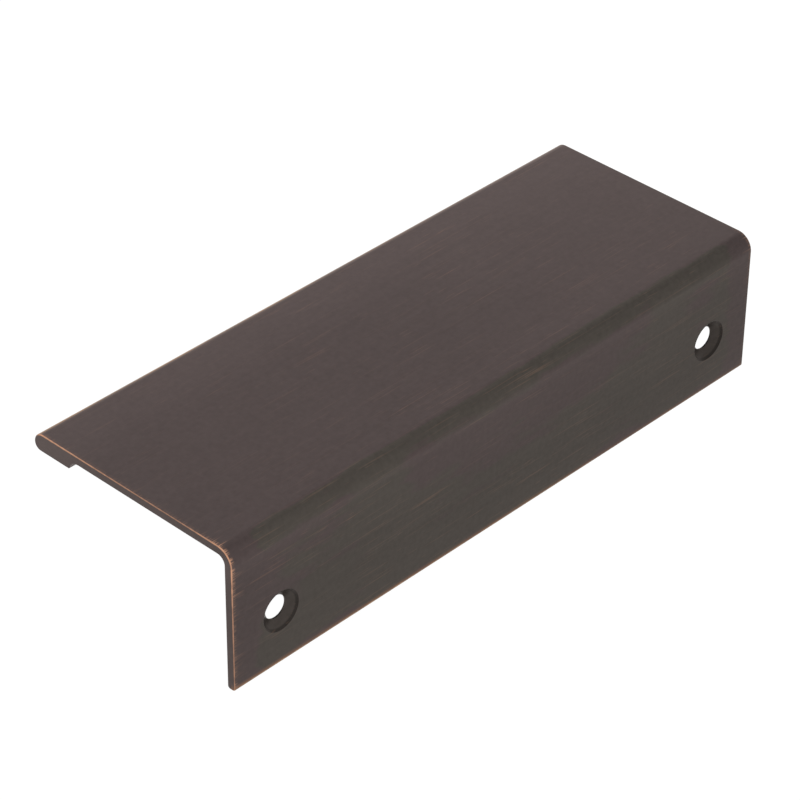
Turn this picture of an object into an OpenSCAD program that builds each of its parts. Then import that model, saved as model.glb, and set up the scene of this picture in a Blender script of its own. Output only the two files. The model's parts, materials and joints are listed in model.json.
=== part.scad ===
// Edge pull for a drawer or a cabinet door: one metal section, bent square, that hooks over the top edge.
// Millimetres. X runs along the pull, Y from the lip at the front to the screws at the back, Z up.
// The origin lies on the face that seats against the back of the door, midway between the screw holes.

/* [Section] */
// Length along the door's edge
pull_length = 115; // [106:1:300]
// Depth of the top plate, from the front of the lip to the back of the flange
reach = 41.8; // [34:0.1:60]
// Height from the top face down to the flange's bottom edge
flange_height = 25.2; // [20:0.2:40]
// Thickness of the plate and the flange
wall = 1.5; // [1.2:0.1:2]
// Inside radius of the bend between the plate and the flange
bend_inner_r = 1.35; // [0.8:0.05:3]
// Rounding of the flange's bottom edge, on both of its faces
flange_edge_r = 0.5; // [0.3:0.05:0.6]

/* [Lip] */
// Thickness of the lip that the fingers pull on
lip_thickness = 3.15; // [2.4:0.05:4]
// Radius of the lip's front above, where it meets the top face; the height that is left is its radius below
nose_top_r = 1.9; // [1.2:0.05:2.1]
// Depth of the lip, from its front to the sharp corner at its back
lip_depth = 7.4; // [4:0.1:12]
// Radius of the hollow behind the lip, which runs out into the plate's underside
lip_hollow_r = 2.5; // [2:0.1:5]

/* [Screw holes] */
// Distance between the two screw holes, centre to centre
hole_spacing = 96; // [64:1:96]
// Height of the hole centres above the flange's bottom edge
hole_height = 9.6; // [6:0.1:14]
// Diameter of the hole that the screw's shank passes through
hole_d = 4; // [3:0.1:5]
// Diameter of the countersink where it opens on the flange's back face
countersink_d = 7; // [6:0.1:9]
// Full angle of the countersink's cone
countersink_angle = 100; // [90:1:120]

/* [Edges] */
// Rounding of the sawn ends, all the way round the section
end_edge_r = 0.2; // [0.1:0.05:0.25]

/* [Hidden] */
$fn = 96;

// How far a cutter stands out of the metal that it cuts
cut_over = 0.5;

// Levels and places in the section, as Y and Z
back_y = wall;
front_y = back_y - reach;
bottom_z = -hole_height;
top_z = bottom_z + flange_height;

bend_outer_r = bend_inner_r + wall;
bend_y = -bend_inner_r;
bend_z = top_z - bend_outer_r;
flange_edge_z = bottom_z + flange_edge_r;

// The lip's front is round from the top face to the bottom one, in two arcs that meet at its foremost point
nose_bottom_r = lip_thickness - nose_top_r;
nose_top_y = front_y + nose_top_r;
nose_bottom_y = front_y + nose_bottom_r;
nose_z = top_z - nose_top_r;
lip_bottom_z = top_z - lip_thickness;
lip_back_y = front_y + lip_depth;

// The hollow's arc starts level on the underside and ends at the lip's sharp corner
lip_step = lip_thickness - wall;
hollow_z = top_z - wall - lip_hollow_r;
hollow_rise = max(0, lip_hollow_r - lip_step);
hollow_y = lip_back_y + sqrt(pow(lip_hollow_r, 2) - pow(hollow_rise, 2));
hollow_angle = acos(hollow_rise / lip_hollow_r);
// How far the end's cutters run on past the lip's sharp corner, so that they meet in a mitre
corner_over = 2 * end_edge_r;
corner_turn = asin(corner_over / lip_hollow_r);

countersink_depth = (countersink_d - hole_d) / 2 / tan(countersink_angle / 2);

// The way round the section's outline from the lip's sharp corner, with the metal on the right.
// Each step is a straight run, then a turn: its radius, to the left if negative, and its angle.
outline_start = [lip_back_y + corner_over, lip_bottom_z];
outline_steps = [
    [corner_over + lip_back_y - nose_bottom_y, nose_bottom_r, 90],
    [0, nose_top_r, 90],
    [bend_y - nose_top_y, bend_outer_r, 90],
    [bend_z - flange_edge_z, flange_edge_r, 90],
    [wall - 2 * flange_edge_r, flange_edge_r, 90],
    [bend_z - flange_edge_z, -bend_inner_r, 90],
    [bend_y - hollow_y, -lip_hollow_r, hollow_angle + corner_turn],
];

// Stands a shape that is drawn in X and Y up into the section's plane, with its height along the pull
module along_pull() {
    rotate([90, 0, 90]) children();
}

// Top plate, level from the lip's nose to the bend
module plate_section() {
    translate([nose_top_y, top_z - wall]) square([bend_y - nose_top_y, wall]);
}

// Quarter of a disc, from the lip's foremost point up to its top face
module nose_section(radius) {
    intersection() {
        circle(radius);
        translate([-radius, 0]) square(radius);
    }
}

// Lip: a rounded nose and a thick foot, hollowed behind up to the underside of the plate
module lip_section() {
    translate([nose_top_y, nose_z]) nose_section(nose_top_r);
    translate([nose_bottom_y, nose_z]) mirror([0, 1]) nose_section(nose_bottom_r);
    difference() {
        union() {
            translate([nose_top_y, nose_z]) square([hollow_y - nose_top_y, nose_top_r]);
            translate([nose_bottom_y, lip_bottom_z]) square([hollow_y - nose_bottom_y, nose_bottom_r]);
        }
        translate([hollow_y, hollow_z]) circle(lip_hollow_r);
        if (lip_step > lip_hollow_r)
            translate([hollow_y - lip_hollow_r, lip_bottom_z - cut_over])
                square([2 * lip_hollow_r, hollow_z - lip_bottom_z + cut_over]);
    }
}

// Quarter ring that turns the plate down into the flange
module bend_section() {
    translate([bend_y, bend_z]) intersection() {
        difference() {
            circle(bend_outer_r);
            circle(bend_inner_r);
        }
        square(bend_outer_r);
    }
}

// Flange behind the door, with its bottom edge rounded on both faces
module flange_section() {
    translate([0, flange_edge_z]) square([wall, bend_z - flange_edge_z]);
    translate([flange_edge_r, bottom_z]) square([wall - 2 * flange_edge_r, flange_edge_r]);
    for (y = [flange_edge_r, wall - flange_edge_r])
        translate([y, flange_edge_z]) circle(flange_edge_r);
}

module pull_section() {
    plate_section();
    lip_section();
    bend_section();
    flange_section();
}

// What a rounded edge takes off a square one, with the metal towards +X and +Y
module edge_waste() {
    difference() {
        translate([-cut_over, -cut_over]) square(end_edge_r + cut_over);
        translate([end_edge_r, end_edge_r]) circle(end_edge_r);
    }
}

// Waste along a straight run of the outline, which goes towards +Y
module straight_waste(run) {
    translate([0, run, 0]) rotate([90, 0, 0]) linear_extrude(run) edge_waste();
}

// Waste round a bend of the outline, from its start at the angle 0
module turned_waste(radius, angle) {
    rotate_extrude(angle = angle) translate([abs(radius), 0])
        if (radius < 0) edge_waste();
        else mirror([1, 0]) edge_waste();
}

// Waste along the whole outline, one step after the other
module outline_waste(steps, i = 0) {
    if (i < len(steps)) {
        run = steps[i][0];
        radius = steps[i][1];
        angle = steps[i][2];
        heading = radius < 0 ? angle : -angle;
        if (run > 0) straight_waste(run);
        translate([radius, run, 0]) {
            if (radius < 0) turned_waste(radius, angle);
            else rotate([0, 0, 180 - angle]) turned_waste(radius, angle);
            rotate([0, 0, heading]) translate([-radius, 0, 0]) outline_waste(steps, i + 1);
        }
    }
}

// Waste at the sawn end that faces -X
module end_waste() {
    translate([-pull_length / 2, 0, 0]) along_pull()
        translate([outline_start[0], outline_start[1], 0]) rotate([0, 0, 90]) outline_waste(outline_steps);
}

// Countersunk screw hole along Y, with its centre at the origin
module screw_hole() {
    cone_over_r = cut_over * tan(countersink_angle / 2);
    rotate([90, 0, 0]) cylinder(h = 2 * (wall + cut_over), d = hole_d, center = true);
    translate([0, back_y + cut_over, 0]) rotate([90, 0, 0])
        cylinder(h = cut_over + countersink_depth, r1 = countersink_d / 2 + cone_over_r, r2 = hole_d / 2);
}

module edge_pull() {
    color([0.31, 0.27, 0.26]) difference() {
        translate([-pull_length / 2, 0, 0]) along_pull() linear_extrude(pull_length) pull_section();
        end_waste();
        mirror([1, 0, 0]) end_waste();
        for (side = [-1, 1])
            translate([side * hole_spacing / 2, 0, 0]) screw_hole();
    }
}

edge_pull();
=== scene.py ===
"""Looks of a bent metal edge pull: brushed copper plating, darkened and rubbed bright, in a white studio."""

from __future__ import annotations

import cmath
import json
import logging
import math
from dataclasses import dataclass
from enum import Enum

import bmesh
import bpy
from bpy.types import Material, Mesh, NodeOutputs, NodeSocket, NodeTree, Object
from mathutils import Matrix, Vector


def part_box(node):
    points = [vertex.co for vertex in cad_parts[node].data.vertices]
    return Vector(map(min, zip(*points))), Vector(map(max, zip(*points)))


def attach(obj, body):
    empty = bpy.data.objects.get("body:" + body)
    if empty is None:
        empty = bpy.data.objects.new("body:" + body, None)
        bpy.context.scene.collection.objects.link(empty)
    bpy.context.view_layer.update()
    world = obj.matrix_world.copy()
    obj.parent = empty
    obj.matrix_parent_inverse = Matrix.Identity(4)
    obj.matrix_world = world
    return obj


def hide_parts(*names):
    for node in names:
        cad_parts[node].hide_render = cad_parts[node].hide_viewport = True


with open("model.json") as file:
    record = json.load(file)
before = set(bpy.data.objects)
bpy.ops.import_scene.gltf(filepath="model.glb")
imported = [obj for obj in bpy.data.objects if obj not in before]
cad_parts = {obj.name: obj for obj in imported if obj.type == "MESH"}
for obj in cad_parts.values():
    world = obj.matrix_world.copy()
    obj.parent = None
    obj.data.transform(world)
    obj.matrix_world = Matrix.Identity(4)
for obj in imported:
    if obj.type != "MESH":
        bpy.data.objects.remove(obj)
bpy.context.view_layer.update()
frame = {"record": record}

LOG = logging.getLogger("edge_pull")
MM = 0.001
CAD_NODE = "edge_pull"
SCREW_MOUNT = "screw_holes"

# Attributes that the mesh hands to the material
END_ROUND = "end_round"
DRILLED = "drilled"

# Blender's names for the nodes that are used most
MATH = "ShaderNodeMath"
VECTOR_MATH = "ShaderNodeVectorMath"
MAP_RANGE = "ShaderNodeMapRange"
MIX = "ShaderNodeMix"
JOIN = "ShaderNodeCombineXYZ"
ATTRIBUTE = "ShaderNodeAttribute"
STORED = "GeometryNodeInputNamedAttribute"
# A strength that starts and ends gently
SMOOTH = "SMOOTHSTEP"

# Places of the sockets on Blender's Mix node, whose names repeat: for colours, then for plain values
COLOUR_A = 6
COLOUR_B = 7
COLOUR_OUT = 2
VALUE_A = 2
VALUE_B = 3

# What a pattern of noise varies about
NOISE_MIDDLE = 0.5

Colour = tuple[float, float, float, float]
WHITE: Colour = (1.0, 1.0, 1.0, 1.0)


class Blend(Enum):
    """How one coat of the finish goes over what is under it."""

    OVER = "MIX"
    TONE = "MULTIPLY"


def linear(code: str) -> Colour:
    """Turns an sRGB hex colour into Blender's linear one.

    Args:
        code: The colour as "#rrggbb".

    Returns:
        Linear red, green, blue and an alpha of 1.
    """
    parts = [int(code[i:i + 2], 16) / 255 for i in (1, 3, 5)]
    values = [p / 12.92 if p <= 0.04045 else ((p + 0.055) / 1.055) ** 2.4 for p in parts]
    return (values[0], values[1], values[2], 1.0)


def add_node(tree: NodeTree, kind: str, inputs: dict | None = None, **settings: object) -> NodeOutputs:
    """Adds a node with its settings, values and links.

    Args:
        tree: The tree that the node goes into.
        kind: Blender's name for the node's type.
        inputs: What goes into each input, by name or number: a socket to link from, or a value.
        settings: The node's own properties.

    Returns:
        The new node's outputs.
    """
    node = tree.nodes.new(kind)
    for name, value in settings.items():
        setattr(node, name, value)
    for key, value in (inputs or {}).items():
        if isinstance(value, NodeSocket):
            tree.links.new(value, node.inputs[key])
        else:
            node.inputs[key].default_value = value
    return node.outputs


@dataclass(frozen=True)
class Strength:
    """How a strength follows a value: from one at the start to another at the end, and level beyond."""

    start: float
    end: NodeSocket | float
    at_start: float = 0.0
    at_end: float = 1.0

    def of(self, value: NodeSocket) -> dict[str, NodeSocket | float]:
        """Gives the inputs of the node that turns a value into its strength.

        Args:
            value: The value's socket.

        Returns:
            What goes into the node, by the names of its inputs.
        """
        return {
            "Value": value,
            "From Min": self.start,
            "From Max": self.end,
            "To Min": self.at_start,
            "To Max": self.at_end,
        }


@dataclass(frozen=True)
class PullSizes:
    """Sizes of the pull in millimetres: Y from the lip to the flange's back, Z up, as in the CAD part."""

    length: float
    front_y: float
    wall: float
    bottom_z: float
    top_z: float
    hole_spacing: float
    hole_r: float
    bend_inner_r: float = 1.35
    flange_edge_r: float = 0.5
    lip_thickness: float = 3.15
    nose_top_r: float = 1.9
    lip_depth: float = 7.4
    lip_hollow_r: float = 2.5
    countersink_r: float = 3.5
    countersink_angle: float = 100.0
    end_edge_r: float = 0.2

    @classmethod
    def from_frame(cls, record: dict) -> PullSizes:
        """Reads the overall sizes from the CAD node's box and the holes from the part's record.

        Args:
            record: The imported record.

        Returns:
            The sizes of this pull.
        """
        low, high = ([round(value / MM, 2) for value in corner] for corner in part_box(CAD_NODE))
        holes = next(mount["dims"] for mount in record["mounts"] if mount["name"] == SCREW_MOUNT)
        return cls(
            length=high[0] - low[0],
            front_y=low[1],
            wall=high[1],
            bottom_z=low[2],
            top_z=high[2],
            hole_spacing=holes["spacing_x_mm"],
            hole_r=holes["hole_r_mm"],
        )

    @property
    def bend_outer_r(self) -> float:
        """Outside radius of the bend."""
        return self.bend_inner_r + self.wall

    @property
    def bend_centre(self) -> complex:
        """Centre of the bend, as Y + Z i."""
        return complex(-self.bend_inner_r, self.top_z - self.bend_outer_r)

    @property
    def nose_bottom_r(self) -> float:
        """Radius of the lip's nose below its foremost point."""
        return self.lip_thickness - self.nose_top_r

    @property
    def lip_corner(self) -> complex:
        """The sharp corner behind the lip, as Y + Z i."""
        return complex(self.front_y + self.lip_depth, self.top_z - self.lip_thickness)

    @property
    def hollow_angle(self) -> float:
        """How far the hollow behind the lip turns, in degrees."""
        rise = self.lip_hollow_r - (self.lip_thickness - self.wall)
        return math.degrees(math.acos(rise / self.lip_hollow_r))

    @property
    def hollow_y(self) -> float:
        """Where the hollow runs out into the plate's underside."""
        return self.lip_corner.real + self.lip_hollow_r * math.sin(math.radians(self.hollow_angle))


@dataclass(frozen=True)
class Step:
    """One step round the section: a straight run, then a turn, to the left where its radius is negative."""

    run: float
    radius: float
    turn: float


@dataclass(frozen=True)
class EdgePull:
    """The whole pull: one bent section, its sawn ends rounded, with two countersunk screw holes."""

    sizes: PullSizes
    # How far a facet may lie off its arc, which keeps every bend smooth in a close view
    facet_error: float = 0.003
    end_facets: int = 6
    end_ring: float = 0.15
    rim_r: float = 0.15
    rim_facets: int = 4
    # The rim's rounding stops at this angle, short of level, so that the cutter still crosses the face
    rim_stop: float = 80.0
    hole_facets: int = 128
    cutter_over: float = 0.05
    sharp_angle: float = 30.0
    name: str = "edge_pull_plated"

    def steps(self) -> list[Step]:
        """The way round the section from the lip's sharp corner, with the metal on the right.

        Returns:
            The steps, the last of which ends at the corner again.
        """
        s = self.sizes
        bend_y, bend_z = s.bend_centre.real, s.bend_centre.imag
        flange_run = bend_z - (s.bottom_z + s.flange_edge_r)
        return [
            Step(s.lip_corner.real - (s.front_y + s.nose_bottom_r), s.nose_bottom_r, 90),
            Step(0, s.nose_top_r, 90),
            Step(bend_y - (s.front_y + s.nose_top_r), s.bend_outer_r, 90),
            Step(flange_run, s.flange_edge_r, 90),
            Step(s.wall - 2 * s.flange_edge_r, s.flange_edge_r, 90),
            Step(flange_run, -s.bend_inner_r, 90),
            Step(bend_y - s.hollow_y, -s.lip_hollow_r, s.hollow_angle),
        ]

    def outline(self) -> list[tuple[complex, complex]]:
        """Walks round the section.

        Returns:
            Each point of the outline as Y + Z i, with the way into the metal that keeps an even distance.
        """
        place, heading = self.sizes.lip_corner, complex(-1, 0)
        start_inward = -1j * heading
        points: list[tuple[complex, complex]] = []
        for step in self.steps():
            place += step.run * heading
            side = -1j if step.radius > 0 else 1j
            radius = abs(step.radius)
            centre = place + radius * side * heading
            turn = math.radians(step.turn)
            count = math.ceil(turn / (2 * math.acos(1 - self.facet_error / radius)))
            for i in range(0 if step.run else 1, count + 1):
                swing = cmath.exp(side * turn * i / count)
                points.append((centre + (place - centre) * swing, -1j * heading * swing))
            place, heading = points[-1][0], heading * cmath.exp(side * turn)
        corner, end_inward = points[-1]
        between = (end_inward * start_inward.conjugate()).real
        points[-1] = (corner, (end_inward + start_inward) / (1 + between))
        return points

    def outline_mesh(self) -> Mesh:
        """Makes the section's outline as a closed ring of edges, which keeps its inward directions.

        Returns:
            The ring's mesh.
        """
        # Backwards, which is anticlockwise seen from +X, so that the faces of the sweep point outwards
        points = self.outline()[::-1]
        mesh = bpy.data.meshes.new("section_outline")
        edges = [(i, (i + 1) % len(points)) for i in range(len(points))]
        mesh.from_pydata([(0, p.real * MM, p.imag * MM) for p, _ in points], edges, [])
        inward = mesh.attributes.new("sweep_inward", "FLOAT_VECTOR", "POINT")
        for item, (_, direction) in zip(inward.data, points):
            item.vector = (0, direction.real, direction.imag)
        return mesh

    def hole_profile(self) -> list[tuple[float, float]]:
        """Half section of what a countersunk hole removes, with a slightly rounded rim.

        Returns:
            Radius and Y of each point, from the seating face outwards.
        """
        s = self.sizes
        half = math.radians(s.countersink_angle / 2)
        depth = (s.countersink_r - s.hole_r) / math.tan(half)
        tangent = self.rim_r * math.tan((math.pi / 2 - half) / 2)
        start_r = s.countersink_r - tangent * math.sin(half)
        start_y = s.wall - tangent * math.cos(half)
        centre_r = start_r + self.rim_r * math.cos(half)
        centre_y = start_y - self.rim_r * math.sin(half)
        points = [(s.hole_r, -self.cutter_over), (s.hole_r, s.wall - depth)]
        stop = math.radians(self.rim_stop)
        for i in range(self.rim_facets + 1):
            angle = half + (stop - half) * i / self.rim_facets
            across, up = self.rim_r * math.cos(angle), self.rim_r * math.sin(angle)
            points.append((centre_r - across, centre_y + up))
        last_r, last_y = points[-1]
        over = s.wall + self.cutter_over - last_y
        points.append((last_r + over * math.tan(stop), s.wall + self.cutter_over))
        return points

    def hole_mesh(self) -> Mesh:
        """Revolves the hole's profile about Y.

        Returns:
            The closed solid that a countersunk hole removes, marked as drilled.
        """
        mesh = bpy.data.meshes.new("hole_cutter")
        form = bmesh.new()
        rings = []
        for radius, y in self.hole_profile():
            angles = [2 * math.pi * i / self.hole_facets for i in range(self.hole_facets)]
            ring = [(radius * MM * math.cos(a), y * MM, radius * MM * math.sin(a)) for a in angles]
            rings.append([form.verts.new(corner) for corner in ring])
        for lower, upper in zip(rings, rings[1:]):
            for i in range(self.hole_facets):
                j = (i + 1) % self.hole_facets
                form.faces.new((lower[i], lower[j], upper[j], upper[i]))
        form.faces.new(rings[0])
        form.faces.new(rings[-1])
        bmesh.ops.recalc_face_normals(form, faces=form.faces)
        form.to_mesh(mesh)
        form.free()
        drilled = mesh.attributes.new(DRILLED, "FLOAT", "FACE")
        drilled.data.foreach_set("value", [1.0] * len(mesh.polygons))
        return mesh

    def body_tree(self, inputs: dict[str, tuple[str, object]]) -> NodeTree:
        """Builds the Geometry Nodes tree that turns the outline into the pull.

        Args:
            inputs: The kind of each named input, with its value.

        Returns:
            The tree.
        """
        tree = bpy.data.node_groups.new("edge_pull_body", "GeometryNodeTree")
        tree.is_modifier = True
        tree.interface.new_socket("Outline", in_out="INPUT", socket_type="NodeSocketGeometry")
        for label, (kind, _) in inputs.items():
            tree.interface.new_socket(label, in_out="INPUT", socket_type="NodeSocket" + kind)
        tree.interface.new_socket("Pull", in_out="OUTPUT", socket_type="NodeSocketGeometry")
        given = add_node(tree, "NodeGroupInput")
        rail = self.add_rail(tree, given)
        swept = self.add_sweep(tree, given["Outline"], rail)
        pull = self.add_holes(tree, given, swept)
        angle = add_node(tree, "GeometryNodeInputMeshEdgeAngle")["Unsigned Angle"]
        sharp = add_node(tree, MATH, {0: angle, 1: given["Sharp Angle"]}, operation="GREATER_THAN")[0]
        for domain, chosen, smooth in (("FACE", True, True), ("EDGE", sharp, False)):
            shading = {"Geometry": pull, "Selection": chosen, "Shade Smooth": smooth}
            pull = add_node(tree, "GeometryNodeSetShadeSmooth", shading, domain=domain)[0]
        pull = add_node(tree, "GeometryNodeRealizeInstances", {0: pull})[0]
        pull = add_node(tree, "GeometryNodeSetMaterial", {"Geometry": pull, "Material": given["Finish"]})[0]
        add_node(tree, "NodeGroupOutput", {0: pull})
        return tree

    def add_rail(self, tree: NodeTree, given: NodeOutputs) -> NodeSocket:
        """Adds the stations along the pull: rings on the end faces, the quarter rounds and the middle.

        Args:
            tree: The body's tree.
            given: The tree's inputs.

        Returns:
            The rail, whose points know their X, how far the section is drawn in, and the end's turn.
        """
        facets, radius = given["End Facets"], given["End Radius"]
        # Each end has a ring on its face and both sides of every facet of its round
        count = add_node(tree, MATH, {0: facets, 1: 2.0, 2: 4.0}, operation="MULTIPLY_ADD")[0]
        last = add_node(tree, MATH, {0: count, 1: 1.0}, operation="SUBTRACT")[0]
        line = add_node(tree, "GeometryNodeMeshLine", {"Count": count, "Offset": (MM, 0.0, 0.0)})[0]
        curve = add_node(tree, "GeometryNodeMeshToCurve", {"Mesh": line})[0]
        index = add_node(tree, "GeometryNodeInputIndex")[0]
        back = add_node(tree, MATH, {0: last, 1: index}, operation="SUBTRACT")[0]
        depth = add_node(tree, MATH, {0: index, 1: back}, operation="MINIMUM")[0]
        first_turn = add_node(tree, MATH, {0: facets, 1: 1.0}, operation="ADD")[0]
        turned = add_node(tree, MAP_RANGE, Strength(1.0, first_turn, 1.0, 0.0).of(depth))[0]
        angle = add_node(tree, MATH, {0: turned, 1: math.pi / 2}, operation="MULTIPLY")[0]
        waves = (add_node(tree, MATH, {0: angle}, operation=wave)[0] for wave in ("SINE", "COSINE"))
        shy, drawn = (add_node(tree, MATH, {0: 1.0, 1: wave}, operation="SUBTRACT")[0] for wave in waves)
        shy_length = add_node(tree, MATH, {0: shy, 1: radius}, operation="MULTIPLY")[0]
        half = add_node(tree, MATH, {0: given["Length"], 1: 0.5}, operation="MULTIPLY")[0]
        reach = add_node(tree, MATH, {0: half, 1: shy_length}, operation="SUBTRACT")[0]
        ahead = add_node(tree, MATH, {0: index, 1: back}, operation="SUBTRACT")[0]
        side = add_node(tree, MATH, {0: ahead}, operation="SIGN")[0]
        along = add_node(tree, MATH, {0: side, 1: reach}, operation="MULTIPLY")[0]
        on_face = add_node(tree, MATH, {0: depth, 1: 0.5}, operation="LESS_THAN")[0]
        ring = add_node(tree, MATH, {0: on_face, 1: given["End Ring"]}, operation="MULTIPLY")[0]
        inset = add_node(tree, MATH, {0: drawn, 1: radius, 2: ring}, operation="MULTIPLY_ADD")[0]
        for label, value in (("sweep_along", along), ("sweep_inset", inset), (END_ROUND, turned)):
            inputs = {"Geometry": curve, "Name": label, "Value": value}
            curve = add_node(tree, "GeometryNodeStoreNamedAttribute", inputs)[0]
        return curve

    def add_sweep(self, tree: NodeTree, outline: NodeSocket, rail: NodeSocket) -> NodeSocket:
        """Adds the sweep of the outline along the rail, each station drawn in by its own amount.

        Args:
            tree: The body's tree.
            outline: The section's ring of edges.
            rail: The stations along the pull.

        Returns:
            The swept body, closed at both ends.
        """
        ring = add_node(tree, "GeometryNodeMeshToCurve", {"Mesh": outline})[0]
        position = add_node(tree, "GeometryNodeInputPosition")[0]
        stored = {"Geometry": ring, "Name": "sweep_section", "Value": position}
        profile = add_node(
            tree, "GeometryNodeStoreNamedAttribute", stored, data_type="FLOAT_VECTOR"
        )[0]
        swept = {"Curve": rail, "Profile Curve": profile, "Fill Caps": True}
        sweep = add_node(tree, "GeometryNodeCurveToMesh", swept)[0]
        section, inward = (
            add_node(tree, STORED, {"Name": label}, data_type="FLOAT_VECTOR")[0]
            for label in ("sweep_section", "sweep_inward")
        )
        along, inset = (
            add_node(tree, STORED, {"Name": label}, data_type="FLOAT")[0]
            for label in ("sweep_along", "sweep_inset")
        )
        drawn = add_node(tree, VECTOR_MATH, {0: inward, "Scale": inset}, operation="SCALE")[0]
        place = add_node(tree, JOIN, {"X": along})[0]
        for part in (section, drawn):
            place = add_node(tree, VECTOR_MATH, {0: place, 1: part}, operation="ADD")[0]
        placed = add_node(tree, "GeometryNodeSetPosition", {"Geometry": sweep, "Position": place})[0]
        helpers = {"Geometry": placed, "Name": "sweep_*"}
        return add_node(tree, "GeometryNodeRemoveAttribute", helpers, pattern_mode="WILDCARD")[0]

    def add_holes(self, tree: NodeTree, given: NodeOutputs, body: NodeSocket) -> NodeSocket:
        """Adds the two screw holes, cut by one solid that is set at both ends of their spacing.

        Args:
            tree: The body's tree.
            given: The tree's inputs.
            body: The swept body.

        Returns:
            The body with its holes.
        """
        spacing = given["Hole Spacing"]
        back = add_node(tree, MATH, {0: spacing, 1: -0.5}, operation="MULTIPLY")[0]
        start, step = (add_node(tree, JOIN, {"X": value})[0] for value in (back, spacing))
        line = {"Count": 2, "Start Location": start, "Offset": step}
        places = add_node(tree, "GeometryNodeMeshLine", line)[0]
        cutter = add_node(tree, "GeometryNodeObjectInfo", {"Object": given["Hole Cutter"]})["Geometry"]
        cutters = add_node(tree, "GeometryNodeInstanceOnPoints", {"Points": places, "Instance": cutter})[0]
        solids = add_node(tree, "GeometryNodeRealizeInstances", {0: cutters})[0]
        inputs = {"Mesh 1": body, "Mesh 2": solids}
        return add_node(
            tree, "GeometryNodeMeshBoolean", inputs, operation="DIFFERENCE", solver="MANIFOLD"
        )[0]

    def build(self, finish: Material) -> Object:
        """Makes the pull as one plain mesh.

        Args:
            finish: The material of its whole surface.

        Returns:
            The pull's object, at the origin.
        """
        s = self.sizes
        meshes = (self.outline_mesh(), self.hole_mesh())
        helper, cutter = (bpy.data.objects.new(mesh.name, mesh) for mesh in meshes)
        for item in (helper, cutter):
            bpy.context.scene.collection.objects.link(item)
        # Lengths are in metres here
        inputs = {
            "Length": ("Float", s.length * MM),
            "End Radius": ("Float", s.end_edge_r * MM),
            "End Ring": ("Float", self.end_ring * MM),
            "Hole Spacing": ("Float", s.hole_spacing * MM),
            "Sharp Angle": ("Float", math.radians(self.sharp_angle)),
            "End Facets": ("Int", self.end_facets),
            "Hole Cutter": ("Object", cutter),
            "Finish": ("Material", finish),
        }
        nodes = helper.modifiers.new("body", "NODES")
        nodes.node_group = self.body_tree(inputs)
        for socket in nodes.node_group.interface.items_tree:
            if socket.name in inputs:
                nodes[socket.identifier] = inputs[socket.name][1]
        normals = helper.modifiers.new("even_shading", "WEIGHTED_NORMAL")
        normals.keep_sharp = True
        graph = bpy.context.evaluated_depsgraph_get()
        mesh = bpy.data.meshes.new_from_object(
            helper.evaluated_get(graph), preserve_all_data_layers=True, depsgraph=graph
        )
        mesh.name = self.name
        mesh.materials.clear()
        mesh.materials.append(finish)
        for item in (helper, cutter):
            bpy.data.objects.remove(item)
        piece = bpy.data.objects.new(self.name, mesh)
        bpy.context.scene.collection.objects.link(piece)
        return piece


@dataclass(frozen=True)
class Pattern:
    """Noise on the skin: how long its marks are along the pull and how wide across it, in millimetres."""

    length: float
    width: float
    detail: float = 0.0


# A quality of the skin round the section, each place given as Y - Z in millimetres, from nose to bottom
Profile = tuple[tuple[float, float], ...]
# Such a quality at some stations along X, from the near end to the far one
Lengthwise = tuple[tuple[float, Profile], ...]


@dataclass(frozen=True)
class Spot:
    """What the finish knows of the point that it colours, as sockets in the material, in millimetres."""

    place: NodeSocket
    # Its place in the section, as a vector without X
    section: NodeSocket
    x: NodeSocket
    z: NodeSocket
    # How far round the skin the point lies, as Y - Z, and the same with an uneven edge to each band
    straight: NodeSocket
    around: NodeSocket
    # Distances from the middle and from the nearer end
    middle: NodeSocket
    end: NodeSocket
    # From 0 to 1 over the rounding of the nearer end, and what that leaves of 1
    turned: NodeSocket
    left: NodeSocket
    # 1 on the flange's back, and 0 on its front
    behind: NodeSocket
    # 1 on the skin that hands reach, and 0 on the side that faces the door
    outer: NodeSocket
    # 1 at the end that was rubbed harder, and less at the other
    rubbed: NodeSocket
    hair: NodeSocket
    cloud: NodeSocket


@dataclass(frozen=True)
class Coat:
    """One coat of the finish: how much of it shows, its colour or tone, and how it goes on."""

    share: NodeSocket | float
    colour: str | NodeSocket
    blend: Blend = Blend.OVER


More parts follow.
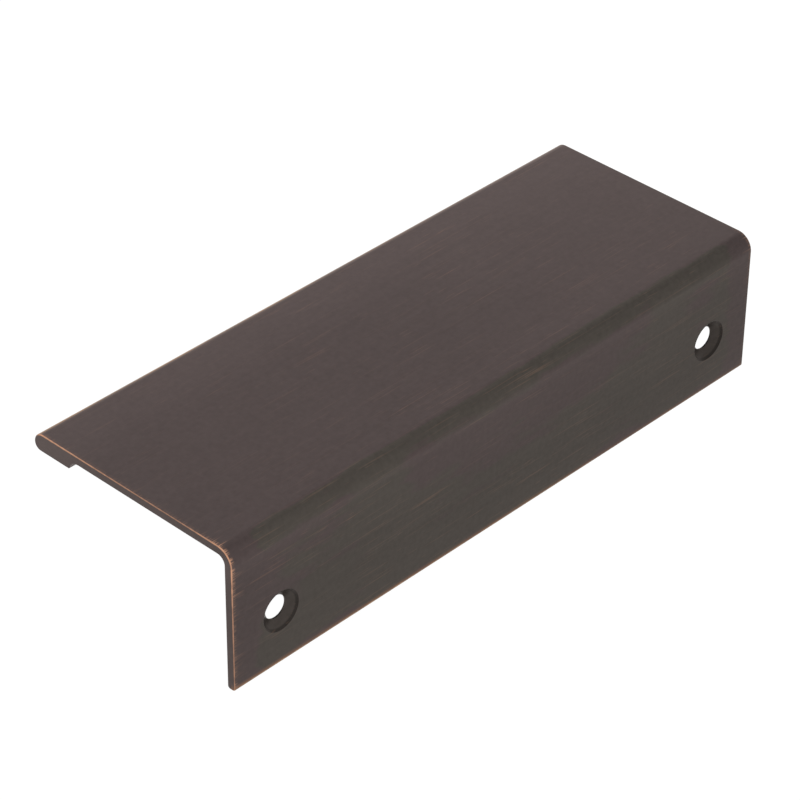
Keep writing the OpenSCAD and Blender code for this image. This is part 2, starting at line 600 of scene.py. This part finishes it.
@dataclass(frozen=True)
class DarkenedCopper:
    """Oil-rubbed bronze: copper plating, brushed along the pull, darkened in a bath and rubbed back.

    It gives the eye a satin dark brown that turns to olive in patches, with fine lines along the pull, and
    thin bright copper where a cloth and the fingers reach an edge. Light and shade are painted into it too:
    olive and a darker tone as painted shade along the bend and down the flange, and a lighter painted tone
    at the nose.
    """

    name: str = "oil_rubbed_bronze_on_brushed_copper"
    brown: str = "#4d4342"
    # Olive patina, also laid on as painted shade along the bend and down the flange
    olive_patina_and_shade: str = "#4a4540"
    sawn: str = "#4f4543"
    drilled: str = "#47413d"
    copper: str = "#cb997b"
    rust: str = "#8f674c"
    # A thin rubbed line on the flange's bottom, where the bath left the copper tan
    tan: str = "#bd936a"
    # What the metal reflects at a glance along it, which stays a little dark and warm
    edge_on: str = "#f6f0ed"
    metallic: float = 0.9
    roughness: float = 0.4
    copper_roughness: float = 0.34
    bump: float = 0.15
    bump_depth: float = 0.02
    # A wire brush leaves lines a few hundredths of a millimetre wide, drawn here as wide as a pixel shows
    hair: Pattern = Pattern(38.0, 0.22, 2.0)
    bands: Pattern = Pattern(90.0, 1.3, 3.0)
    wisps: Pattern = Pattern(12.0, 2.2, 3.0)
    wander: Pattern = Pattern(8.0, 2.2, 3.0)
    strokes: Pattern = Pattern(12.0, 0.17, 2.0)
    tufts: Pattern = Pattern(12.0, 0.7)
    short_scratches: Pattern = Pattern(3.2, 0.16)
    long_scratches: Pattern = Pattern(11.0, 0.18)
    specks: Pattern = Pattern(1.3, 1.0, 2.0)
    patches: Pattern = Pattern(0.909, 0.909, 2.0)
    mottle: Pattern = Pattern(0.8, 0.8, 3.0)
    cloud: Pattern = Pattern(14.0, 14.0, 2.0)
    pressure: Pattern = Pattern(17.0, 17.0, 1.0)
    # How far each pattern swings what it acts on: a band's edge in millimetres, the patina's tone, the
    # brush marks, and the lean to olive
    wander_swing: float = 1.8
    cloud_on_tone: float = 0.12
    mottle_on_tone: float = 0.34
    hair_on_marks: float = 0.07
    bands_on_marks: float = 0.12
    cloud_on_olive: float = 1.2
    wisps_on_olive: float = 0.9
    hair_on_olive: float = 0.3
    # Where the patina turns to olive: olive patches, and olive laid on as painted shade along the bend and
    # down the flange, with a brown strip between them
    olive_and_painted_shade_lean: Lengthwise = (
        (50.0, (
            (-56, 0.5), (-52.5, 0), (-17.2, 0), (-15.6, 0.8), (-12.6, 0.7), (-11, 0.2), (-4, 0.2),
            (1, 0.55), (6, 0.9), (9, 0.9), (11.1, 0.3),
        )),
        (30.0, (
            (-56, 0.5), (-52.5, 0), (-17.2, 0), (-16, 0.85), (-12.4, 0.75), (-10.5, 0.5), (0, 0.75),
            (9, 0.75), (11.1, 0.25),
        )),
        (4.0, (
            (-56, 0.4), (-52.5, 0), (-17.2, 0), (-16, 0.8), (-12.6, 0.65), (-10.5, 0.25), (-6, 0.3),
            (-1, 0.7), (9, 0.75), (11.1, 0.25),
        )),
        (-52.0, (
            (-56, 0.2), (-52.5, 0), (-17.2, 0), (-15.7, 0.85), (-12, 0.7), (-10, 0.45), (1, 0.8), (9, 0.7),
            (11.1, 0.15),
        )),
    )
    # The lean at which brown turns to olive, and how the ends lean back to brown, in millimetres from them
    olive_edge: Strength = Strength(0.38, 0.62)
    brown_end: Strength = Strength(6.5, 3.5, 0.0, -0.6)
    # Painted light and shade on the patina's tone: a lighter nose and a lighter strip just under the bend, a
    # painted dark band along the bend, and a darker flange, darkest at the far end
    depth: Lengthwise = (
        (45.0, (
            (-56, 1.18), (-52, 1.2), (-43, 1.02), (-17.5, 0.99), (-16.4, 0.96), (-15.7, 0.89),
            (-12.1, 1.14), (-9.5, 0.98), (0, 0.88), (11.1, 0.94),
        )),
        (5.0, (
            (-56, 1.2), (-52, 1.18), (-43, 1.0), (-33, 0.94), (-16.6, 0.97), (-15.6, 0.87), (-12.1, 1.05),
            (-9.5, 0.93), (2, 0.81), (5.5, 0.77), (11.1, 0.84),
        )),
        (-52.0, (
            (-56, 1.25), (-52, 1.22), (-43, 1.11), (-17.5, 1.0), (-16.4, 1.02), (-15.6, 0.77),
            (-12.1, 0.88), (-6.5, 0.71), (6.5, 0.66), (11.1, 0.77),
        )),
    )
    # How deep the brush marks are: faint on the near end of the plate, and deepest round the bend
    brushing: Lengthwise = (
        (40.0, ((-56, 0.7), (-26, 0.5), (-15, 1.3), (-8, 1.4), (11.1, 1.3))),
        (-5.0, ((-56, 1.6), (-28, 1.3), (-20, 2.0), (-15, 1.7), (1, 1.5), (11.1, 1.2))),
        (-45.0, ((-56, 1.4), (-26, 0.8), (-15, 1.2), (-8, 1.1), (11.1, 0.9))),
    )
    # How much copper the brush's deeper scratches lay bare, where it pressed hard enough
    short_bare: Strength = Strength(0.77, 0.84, at_end=0.05)
    long_bare: Strength = Strength(0.7, 0.78, at_end=0.045)
    pressed: Strength = Strength(0.4, 0.58, at_start=0.35)
    # How far the copper is laid bare along the rounded ends
    copper_lean: Profile = (
        (-56, 1), (-50, 0.88), (-40, 0.62), (-24, 0.55), (-18, 0.84), (-15, 1.1), (-11, 1.0), (-4, 0.64),
        (11.1, 0.52),
    )
    patchy: Strength = Strength(0.35, 0.65, 0.8, 1.1)
    # How much the lean widens the bare line, and where on the rounding that line starts and is full
    ridge_spread: float = 0.12
    ridge: Strength = Strength(0.19, 0.3)
    # How much of the strokes shows, which are deepest round the bend
    stroke_lean: Profile = (
        (-56, 0.3), (-50, 0.1), (-20, 0.15), (-17, 1), (-11, 1), (-7, 0.5), (-2, 0.28), (4, 0.25),
        (11.1, 0.45),
    )
    stroke_line: Strength = Strength(0.46, 0.7)
    stroke_start: float = 0.7
    # How far in from the end a tuft of strokes reaches, in millimetres
    stroke_reach: Strength = Strength(0.52, 0.72, 0.8, 2.6)
    # The short fringe on the copper line, which the strokes break up
    spill: Strength = Strength(0.1, 0.8, 0.44, 0.0)
    spill_break: Strength = Strength(0.42, 0.58, at_start=0.1)
    # Share of the copper that shows at the end that was rubbed least
    faint_end: float = 0.25
    # The haze on the flange's bottom, by the height above the edge
    haze: Strength = Strength(1.3, 0.2, at_end=0.7)
    haze_uneven: Strength = Strength(0.3, 0.6, at_start=0.4)
    # The tan line, by the way that is left to the skin's lowest place, and how worn it is
    tan_line: Strength = Strength(0.7, 0.4)
    tan_worn: Strength = Strength(0.42, 0.62, 0.3, 0.75)
    tan_uneven: Strength = Strength(0.35, 0.6, at_start=0.5)
    # The way out from the nose's centre to its crest, and how near to it the skin is rubbed
    crest_way: tuple[float, float, float] = (0.0, -0.72, 0.69)
    crest: Strength = Strength(0.82, 0.98, at_end=0.9)
    # The saw's own dark on the ends, by how far the rounding has turned
    sawn_from: Strength = Strength(0.8, 1.0)
    # The tone of the darker ring in a countersink, by how far inside the rim it lies
    rim_ring_tone: Strength = Strength(0.5, 0.25, 1.0, 0.55)
    # Depths in the wall, as shares of it, between which the skin that hands reach starts
    outer_from: float = 0.5
    outer_to: float = 0.8

    def build(self, sizes: PullSizes) -> Material:
        """Makes the material, one coat over the other.

        Args:
            sizes: The pull's sizes, which say where its edges are.

        Returns:
            The finished material.
        """
        material = bpy.data.materials.new(self.name)
        material.use_nodes = True
        tree = material.node_tree
        tree.nodes.clear()
        spot = self.add_spot(tree, sizes)
        drilled = add_node(tree, ATTRIBUTE, attribute_name=DRILLED)["Fac"]
        sawn = add_node(tree, MAP_RANGE, self.sawn_from.of(spot.turned))[0]
        edges, scratches = self.add_copper(tree, spot), self.add_scratches(tree, spot)
        bare = add_node(tree, MATH, {0: edges, 1: scratches}, operation="MAXIMUM")[0]
        coats = (
            # Olive patina in patches, and olive as painted shade along the bend and down the flange
            Coat(self.add_olive_and_painted_shade(tree, spot), self.olive_patina_and_shade),
            Coat(sawn, self.sawn),
            Coat(drilled, self.drilled),
            Coat(drilled, self.add_rim_ring(tree, spot, sizes), Blend.TONE),
            # The patina's random tone and brush marks, over painted light and shade by place
            Coat(1.0, self.add_tone_with_painted_light_and_shade(tree, spot), Blend.TONE),
            Coat(self.add_haze(tree, spot, sizes), self.rust),
            Coat(self.add_tan(tree, spot, sizes), self.tan),
            Coat(bare, self.copper),
        )
        colour: NodeSocket | Colour = linear(self.brown)
        for coat in coats:
            over = linear(coat.colour) if isinstance(coat.colour, str) else coat.colour
            mixed = {0: coat.share, COLOUR_A: colour, COLOUR_B: over}
            outputs = add_node(tree, MIX, mixed, data_type="RGBA", blend_type=coat.blend.value)
            colour = outputs[COLOUR_OUT]
        polish = Strength(0.0, 1.0, self.roughness, self.copper_roughness)
        brushed = {"Strength": self.bump, "Distance": self.bump_depth * MM, "Height": spot.hair}
        metal = {
            "Base Color": colour,
            "Metallic": self.metallic,
            "Roughness": add_node(tree, MAP_RANGE, polish.of(bare))[0],
            "Specular Tint": linear(self.edge_on),
            "Normal": add_node(tree, "ShaderNodeBump", brushed)[0],
        }
        shader = add_node(tree, "ShaderNodeBsdfPrincipled", metal)[0]
        add_node(tree, "ShaderNodeOutputMaterial", {"Surface": shader})
        return material

    def add_spot(self, tree: NodeTree, sizes: PullSizes) -> Spot:
        """Adds what every coat of the finish needs to know of a point.

        Args:
            tree: The material's tree.
            sizes: The pull's sizes.

        Returns:
            The point's own sockets.
        """
        metres = add_node(tree, "ShaderNodeTexCoord")["Object"]
        place = add_node(tree, VECTOR_MATH, {0: metres, "Scale": 1 / MM}, operation="SCALE")[0]
        x, y, z = add_node(tree, "ShaderNodeSeparateXYZ", {0: place})
        section = add_node(tree, JOIN, {"Y": y, "Z": z})[0]
        straight = add_node(tree, MATH, {0: y, 1: z}, operation="SUBTRACT")[0]
        wander = self.add_pattern(tree, place, self.wander)
        middle = add_node(tree, MATH, {0: x}, operation="ABSOLUTE")[0]
        half = sizes.length / 2
        turned = add_node(tree, ATTRIBUTE, attribute_name=END_ROUND)["Fac"]
        rubbed = Strength(-half, half, at_start=self.faint_end)
        return Spot(
            place=place,
            section=section,
            x=x,
            z=z,
            straight=straight,
            around=self.add_swings(tree, straight, ((wander, self.wander_swing),)),
            middle=middle,
            end=add_node(tree, MATH, {0: half, 1: middle}, operation="SUBTRACT")[0],
            turned=turned,
            left=add_node(tree, MATH, {0: 1.0, 1: turned}, operation="SUBTRACT")[0],
            behind=add_node(tree, MATH, {0: y, 1: sizes.wall / 2}, operation="GREATER_THAN")[0],
            outer=self.add_outer(tree, section, sizes),
            rubbed=add_node(tree, MAP_RANGE, rubbed.of(x))[0],
            hair=self.add_pattern(tree, place, self.hair),
            cloud=self.add_pattern(tree, place, self.cloud),
        )

    def add_outer(self, tree: NodeTree, section: NodeSocket, sizes: PullSizes) -> NodeSocket:
        """Adds the test for the skin that hands reach, by how far out of the section the point lies.

        Args:
            tree: The material's tree.
            section: The point's place in the section.
            sizes: The pull's sizes.

        Returns:
            1 on that skin, and 0 on the side that faces the door.
        """
        # Distance out from the bend's centre, which is also the depth in the plate and in the flange
        bend = (0.0, sizes.bend_centre.real, sizes.bend_centre.imag)
        way = add_node(tree, VECTOR_MATH, {0: section, 1: bend}, operation="SUBTRACT")[0]
        out = add_node(tree, VECTOR_MATH, {0: way, 1: (0.0, 0.0, 0.0)}, operation="MAXIMUM")[0]
        distance = add_node(tree, VECTOR_MATH, {0: out}, operation="LENGTH")["Value"]
        low, high = (sizes.bend_inner_r + share * sizes.wall for share in (self.outer_from, self.outer_to))
        return add_node(tree, MAP_RANGE, Strength(low, high).of(distance), interpolation_type=SMOOTH)[0]

    def add_pattern(self, tree: NodeTree, place: NodeSocket, pattern: Pattern) -> NodeSocket:
        """Adds noise, drawn out along the pull where its marks are longer than wide.

        Args:
            tree: The material's tree.
            place: The point on the pull, in millimetres.
            pattern: The marks' length, width and detail.

        Returns:
            A value about 0.5.
        """
        marks = (pattern.length, pattern.width, pattern.width)
        stretched = add_node(tree, VECTOR_MATH, {0: place, 1: marks}, operation="DIVIDE")[0]
        inputs = {"Vector": stretched, "Scale": 1.0, "Detail": pattern.detail}
        return add_node(tree, "ShaderNodeTexNoise", inputs)[0]

    def add_swings(
        self, tree: NodeTree, value: NodeSocket | float, swings: tuple[tuple[NodeSocket, float], ...]
    ) -> NodeSocket | float:
        """Adds patterns to a value, each of which swings it up and down.

        Args:
            tree: The material's tree.
            value: The value without them.
            swings: Each pattern with how far it swings the value.

        Returns:
            The value with its swings.
        """
        for pattern, amount in swings:
            swing = add_node(tree, MATH, {0: pattern, 1: NOISE_MIDDLE}, operation="SUBTRACT")[0]
            value = add_node(tree, MATH, {0: swing, 1: amount, 2: value}, operation="MULTIPLY_ADD")[0]
        return value

    def add_profile(self, tree: NodeTree, around: NodeSocket, profile: Profile) -> NodeSocket:
        """Adds how a quality changes from the lip's nose over the bend to the flange's bottom.

        Args:
            tree: The material's tree.
            around: How far round the skin the point lies.
            profile: The quality at some places round the skin, in order.

        Returns:
            The quality at the point.
        """
        first, last = float(profile[0][0]), float(profile[-1][0])
        most = max(value for _, value in profile)
        share = add_node(tree, MAP_RANGE, Strength(first, last).of(around))[0]
        shown = add_node(tree, "ShaderNodeValToRGB", {0: share})["Color"]
        stops = shown.node.color_ramp.elements
        for place, _ in profile[1:-1]:
            stops.new((place - first) / (last - first))
        for stop, (_, value) in zip(stops, profile):
            stop.color = (value / most,) * 3 + (1.0,)
        return add_node(tree, MATH, {0: shown, 1: most}, operation="MULTIPLY")[0]

    def add_lengthwise(self, tree: NodeTree, spot: Spot, stations: Lengthwise) -> NodeSocket:
        """Adds a quality that changes both round the section and along the pull.

        Args:
            tree: The material's tree.
            spot: The point on the pull.
            stations: The quality's profile at some stations along X.

        Returns:
            The quality at the point.
        """
        quality = self.add_profile(tree, spot.around, stations[0][1])
        for (last, _), (station, profile) in zip(stations, stations[1:]):
            share = add_node(tree, MAP_RANGE, Strength(last, station).of(spot.x))[0]
            mixed = {0: share, VALUE_A: quality, VALUE_B: self.add_profile(tree, spot.around, profile)}
            quality = add_node(tree, MIX, mixed, data_type="FLOAT")[0]
        return quality

    def add_olive_and_painted_shade(self, tree: NodeTree, spot: Spot) -> NodeSocket:
        """Adds the olive in the brown patina: patches, and painted shade along the bend and down the flange.

        Args:
            tree: The material's tree.
            spot: The point on the pull.

        Returns:
            How much olive shows, from 0 to 1.
        """
        wisps = self.add_pattern(tree, spot.place, self.wisps)
        swings = (
            (spot.cloud, self.cloud_on_olive),
            (wisps, self.wisps_on_olive),
            (spot.hair, self.hair_on_olive),
        )
        # The olive lean by place is painted shade, which the patterns break into patches
        leaning = self.add_swings(tree, self.add_lengthwise(tree, spot, self.olive_and_painted_shade_lean), swings)
        by_end = add_node(tree, MAP_RANGE, self.brown_end.of(spot.end))[0]
        leaning = add_node(tree, MATH, {0: leaning, 1: by_end}, operation="ADD")[0]
        return add_node(tree, MAP_RANGE, self.olive_edge.of(leaning), interpolation_type=SMOOTH)[0]

    def add_rim_ring(self, tree: NodeTree, spot: Spot, sizes: PullSizes) -> NodeSocket:
        """Adds the darker ring just inside a countersink's rim.

        Args:
            tree: The material's tree.
            spot: The point on the pull.
            sizes: The pull's sizes.

        Returns:
            The tone there.
        """
        along = add_node(tree, MATH, {0: spot.middle, 1: sizes.hole_spacing / 2}, operation="SUBTRACT")[0]
        across = add_node(tree, JOIN, {"X": along, "Z": spot.z})[0]
        radius = add_node(tree, VECTOR_MATH, {0: across}, operation="LENGTH")["Value"]
        inside = add_node(tree, MATH, {0: sizes.countersink_r, 1: radius}, operation="SUBTRACT")[0]
        return add_node(tree, MAP_RANGE, self.rim_ring_tone.of(inside), interpolation_type=SMOOTH)[0]

    def add_tone_with_painted_light_and_shade(self, tree: NodeTree, spot: Spot) -> NodeSocket:
        """Adds what lightens and darkens the patina: painted light and shade by place, brushing, slow clouds
        and fine mottling.

        Args:
            tree: The material's tree.
            spot: The point on the pull.

        Returns:
            A factor about 1.
        """
        mottle = self.add_pattern(tree, spot.place, self.mottle)
        bands = self.add_pattern(tree, spot.place, self.bands)
        swings = ((spot.cloud, self.cloud_on_tone), (mottle, self.mottle_on_tone))
        # Painted light and shade by place, swung by the slow clouds and the mottling
        tone = self.add_swings(tree, self.add_lengthwise(tree, spot, self.depth), swings)
        marks = self.add_swings(tree, 0.0, ((spot.hair, self.hair_on_marks), (bands, self.bands_on_marks)))
        brushing = self.add_lengthwise(tree, spot, self.brushing)
        return add_node(tree, MATH, {0: marks, 1: brushing, 2: tone}, operation="MULTIPLY_ADD")[0]

    def add_haze(self, tree: NodeTree, spot: Spot, sizes: PullSizes) -> NodeSocket:
        """Adds the dull red-brown haze along the flange's bottom, which is half rubbed through.

        Args:
            tree: The material's tree.
            spot: The point on the pull.
            sizes: The pull's sizes.

        Returns:
            How much of it shows, from 0 to 1.
        """
        height = add_node(tree, MATH, {0: spot.z, 1: sizes.bottom_z}, operation="SUBTRACT")[0]
        haze = add_node(tree, MAP_RANGE, self.haze.of(height), interpolation_type=SMOOTH)[0]
        uneven = add_node(tree, MAP_RANGE, self.haze_uneven.of(spot.hair))[0]
        for share in (spot.behind, spot.rubbed, uneven):
            haze = add_node(tree, MATH, {0: haze, 1: share}, operation="MULTIPLY")[0]
        return haze

    def add_tan(self, tree: NodeTree, spot: Spot, sizes: PullSizes) -> NodeSocket:
        """Adds the thin tan line where a long edge is rubbed: the flange's bottom and the nose's crest.

        Args:
            tree: The material's tree.
            spot: The point on the pull.
            sizes: The pull's sizes.

        Returns:
            How much of it shows, from 0 to 1.
        """
        lowest = sizes.wall - sizes.bottom_z
        rest = add_node(tree, MATH, {0: lowest, 1: spot.straight}, operation="SUBTRACT")[0]
        bottom = add_node(tree, MAP_RANGE, self.tan_line.of(rest), interpolation_type=SMOOTH)[0]
        specks = self.add_pattern(tree, spot.place, self.specks)
        worn = add_node(tree, MAP_RANGE, self.tan_worn.of(specks))[0]
        for share in (spot.behind, worn):
            bottom = add_node(tree, MATH, {0: bottom, 1: share}, operation="MULTIPLY")[0]
        nose = (0.0, sizes.front_y + sizes.nose_top_r, sizes.top_z - sizes.nose_top_r)
        way = add_node(tree, VECTOR_MATH, {0: spot.section, 1: nose}, operation="SUBTRACT")[0]
        out = add_node(tree, VECTOR_MATH, {0: way}, operation="NORMALIZE")[0]
        facing = add_node(tree, VECTOR_MATH, {0: out, 1: self.crest_way}, operation="DOT_PRODUCT")["Value"]
        crest = add_node(tree, MAP_RANGE, self.crest.of(facing))[0]
        tan = add_node(tree, MATH, {0: bottom, 1: crest}, operation="MAXIMUM")[0]
        uneven = add_node(tree, MAP_RANGE, self.tan_uneven.of(spot.cloud))[0]
        for share in (spot.left, spot.rubbed, uneven):
            tan = add_node(tree, MATH, {0: tan, 1: share}, operation="MULTIPLY")[0]
        return tan

    def add_scratches(self, tree: NodeTree, spot: Spot) -> NodeSocket:
        """Adds the odd deeper mark of the brush, which goes through the patina to the copper.

        Args:
            tree: The material's tree.
            spot: The point on the pull.

        Returns:
            How much copper shows, from 0 to about a fifth.
        """
        marks: NodeSocket | float = 0.0
        kinds = ((self.short_scratches, self.short_bare), (self.long_scratches, self.long_bare))
        for pattern, bare in kinds:
            noise = self.add_pattern(tree, spot.place, pattern)
            mark = add_node(tree, MAP_RANGE, bare.of(noise))[0]
            marks = add_node(tree, MATH, {0: mark, 1: marks}, operation="ADD")[0]
        pressure = self.add_pattern(tree, spot.place, self.pressure)
        pressed = add_node(tree, MAP_RANGE, self.pressed.of(pressure), interpolation_type=SMOOTH)[0]
        for share in (pressed, self.add_lengthwise(tree, spot, self.brushing), spot.outer):
            marks = add_node(tree, MATH, {0: marks, 1: share}, operation="MULTIPLY")[0]
        return marks

    def add_copper(self, tree: NodeTree, spot: Spot) -> NodeSocket:
        """Adds where bright copper shows: along the rounded ends, and in strokes that the brush drew in.

        Args:
            tree: The material's tree.
            spot: The point on the pull.

        Returns:
            How much copper shows, from 0 to 1.
        """
        patches = self.add_pattern(tree, spot.place, self.patches)
        patchy = add_node(tree, MAP_RANGE, self.patchy.of(patches))[0]
        leaning = self.add_profile(tree, spot.around, self.copper_lean)
        lean = add_node(tree, MATH, {0: leaning, 1: patchy}, operation="MULTIPLY")[0]
        # The rounding is barest halfway round, where it stands out most
        halfway = add_node(tree, MATH, {0: spot.turned, 1: spot.left}, operation="MULTIPLY")[0]
        wide = add_node(tree, MATH, {0: lean, 1: self.ridge_spread, 2: halfway}, operation="MULTIPLY_ADD")[0]
        ridge = add_node(tree, MAP_RANGE, self.ridge.of(wide), interpolation_type=SMOOTH)[0]
        edge = add_node(tree, MATH, {0: ridge, 1: lean}, operation="MULTIPLY")[0]
        stroke = self.add_strokes(tree, spot)
        copper = add_node(tree, MATH, {0: edge, 1: stroke}, operation="MAXIMUM")[0]
        for share in (spot.outer, spot.rubbed):
            copper = add_node(tree, MATH, {0: copper, 1: share}, operation="MULTIPLY")[0]
        return copper

    def add_strokes(self, tree: NodeTree, spot: Spot) -> NodeSocket:
        """Adds the strokes of copper that the brush drew in from the rounded ends, and their short fringe.

        Args:
            tree: The material's tree.
            spot: The point on the pull.

        Returns:
            How much copper they show, from 0 to 1.
        """
        strokes = self.add_pattern(tree, spot.place, self.strokes)
        line = add_node(tree, MAP_RANGE, self.stroke_line.of(strokes))[0]
        broken = add_node(tree, MAP_RANGE, self.spill_break.of(strokes))[0]
        tufts = self.add_pattern(tree, spot.place, self.tufts)
        reach = add_node(tree, MAP_RANGE, self.stroke_reach.of(tufts))[0]
        fade = add_node(tree, MAP_RANGE, Strength(0.0, reach, self.stroke_start, 0.0).of(spot.end))[0]
        spill = add_node(tree, MAP_RANGE, self.spill.of(spot.end))[0]
        fringe = add_node(tree, MATH, {0: spill, 1: broken}, operation="MULTIPLY")[0]
        drawn = add_node(tree, MATH, {0: line, 1: fade, 2: fringe}, operation="MULTIPLY_ADD")[0]
        stroke = self.add_profile(tree, spot.around, self.stroke_lean)
        for share in (drawn, spot.left):
            stroke = add_node(tree, MATH, {0: stroke, 1: share}, operation="MULTIPLY")[0]
        return stroke


@dataclass
class Studio:
    """A white studio: pale paper underneath, and an even white world, a little brighter beyond the lip."""

    sizes: PullSizes
    floor_drop: float = 30.0
    floor_side: float = 6.0
    floor_glow: float = 0.93
    floor_albedo: float = 0.12
    # The paper as it lights the pull from below
    paper_albedo: float = 0.8
    ambient: float = 1.0
    wall_glow: float = 0.3
    wall_way: tuple[float, float, float] = (-0.74, -0.67, 0.09)
    # How nearly a way has to point at the bright part of the wall to show some of it
    wall_edge: float = 0.9

    def build(self) -> None:
        """Makes the floor and the world, and sets the plain view transform."""
        self.build_floor()
        self.build_world()
        bpy.context.scene.view_settings.view_transform = "Standard"

    def build_floor(self) -> None:
        """Makes the floor under the pull."""
        mesh = bpy.data.meshes.new("studio_floor")
        half = self.floor_side / 2
        z = (self.sizes.bottom_z - self.floor_drop) * MM
        corners = [(-half, -half, z), (half, -half, z), (half, half, z), (-half, half, z)]
        mesh.from_pydata(corners, [], [(0, 1, 2, 3)])
        floor = bpy.data.objects.new("studio_floor", mesh)
        bpy.context.scene.collection.objects.link(floor)
        mesh.materials.append(self.floor_material())

    def floor_material(self) -> Material:
        """Makes white studio paper, almost white to the camera and in metal, which keeps a faint shadow.

        Returns:
            The floor's material.
        """
        material = bpy.data.materials.new("white_studio_paper")
        material.use_nodes = True
        tree = material.node_tree
        tree.nodes.clear()
        shaded, plain = (
            add_node(tree, "ShaderNodeBsdfDiffuse", {"Color": (albedo,) * 3 + (1.0,)})[0]
            for albedo in (self.floor_albedo, self.paper_albedo)
        )
        glow = add_node(tree, "ShaderNodeEmission", {"Strength": self.floor_glow})[0]
        shown = add_node(tree, "ShaderNodeAddShader", {0: shaded, 1: glow})[0]
        seen = self.add_seen(tree, "Is Camera Ray", "Is Glossy Ray", "Is Transmission Ray")
        surface = add_node(tree, "ShaderNodeMixShader", {0: seen, 1: plain, 2: shown})[0]
        add_node(tree, "ShaderNodeOutputMaterial", {"Surface": surface})
        return material

    def add_seen(self, tree: NodeTree, *kinds: str) -> NodeSocket:
        """Adds the test for the kinds of ray that show the background.

        Args:
            tree: The tree that tests it.
            kinds: Blender's names for these rays.

        Returns:
            1 for such a ray, and 0 for the others.
        """
        path = add_node(tree, "ShaderNodeLightPath")
        seen = path[kinds[0]]
        for kind in kinds[1:]:
            seen = add_node(tree, MATH, {0: seen, 1: path[kind]}, operation="MAXIMUM")[0]
        return seen

    def build_world(self) -> None:
        """Makes the world: white to the camera, and brighter towards the lip for what it lights."""
        world = bpy.data.worlds.new("white_studio")
        world.use_nodes = True
        tree = world.node_tree
        tree.nodes.clear()
        way = add_node(tree, "ShaderNodeTexCoord")["Generated"]
        towards = tuple(Vector(self.wall_way).normalized())
        facing = add_node(tree, VECTOR_MATH, {0: way, 1: towards}, operation="DOT_PRODUCT")["Value"]
        wall = Strength(self.wall_edge, 1.0, self.ambient, self.ambient + self.wall_glow)
        light = add_node(tree, MAP_RANGE, wall.of(facing), interpolation_type=SMOOTH)[0]
        seen = self.add_seen(tree, "Is Camera Ray", "Is Transmission Ray")
        strength = add_node(tree, MIX, {0: seen, VALUE_A: light, VALUE_B: 1.0}, data_type="FLOAT")[0]
        sky = add_node(tree, "ShaderNodeBackground", {"Color": WHITE, "Strength": strength})[0]
        add_node(tree, "ShaderNodeOutputWorld", {"Surface": sky})
        bpy.context.scene.world = world


@dataclass(frozen=True)
class Camera:
    """The photograph's camera: from behind the flange, above, and a little turned, with a long lens."""

    azimuth: float = 133.654
    elevation: float = 35.596
    roll: float = -0.575
    distance: float = 513.966
    target: tuple[float, float, float] = (1.170, -20.017, 2.557)
    lens: float = 149.02
    sensor: float = 36.0
    # The nearest and the farthest that it sees, in metres
    clip: tuple[float, float] = (0.01, 20.0)

    def build(self) -> None:
        """Makes the camera and gives it to the scene."""
        a, e = math.radians(self.azimuth), math.radians(self.elevation)
        back = Vector((math.sin(a) * math.cos(e), -math.cos(a) * math.cos(e), math.sin(e)))
        right = Vector((0, 0, 1)).cross(back).normalized()
        up = back.cross(right)
        r = math.radians(self.roll)
        leaning_up = up * math.cos(r) + right * math.sin(r)
        leaning_right = leaning_up.cross(back)
        turn = Matrix((leaning_right, leaning_up, back)).transposed()
        data = bpy.data.cameras.new("photo_camera")
        data.sensor_fit = "HORIZONTAL"
        data.sensor_width = self.sensor
        data.lens = self.lens
        data.clip_start, data.clip_end = self.clip
        camera = bpy.data.objects.new("photo_camera", data)
        place = (Vector(self.target) + back * self.distance) * MM
        camera.matrix_world = Matrix.Translation(place) @ turn.to_4x4()
        bpy.context.scene.collection.objects.link(camera)
        bpy.context.scene.camera = camera


def main() -> None:
    """Builds the camera, the studio and the pull, and reports the piece."""
    logging.basicConfig(level=logging.INFO, format="%(name)s: %(message)s")
    sizes = PullSizes.from_frame(frame["record"])
    Camera().build()
    Studio(sizes).build()
    pull = EdgePull(sizes).build(DarkenedCopper().build(sizes))
    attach(pull, "root")
    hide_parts(CAD_NODE)
    LOG.info("%s: %d faces, %.1f mm long", pull.name, len(pull.data.polygons), sizes.length)


if __name__ == "__main__":
    main()
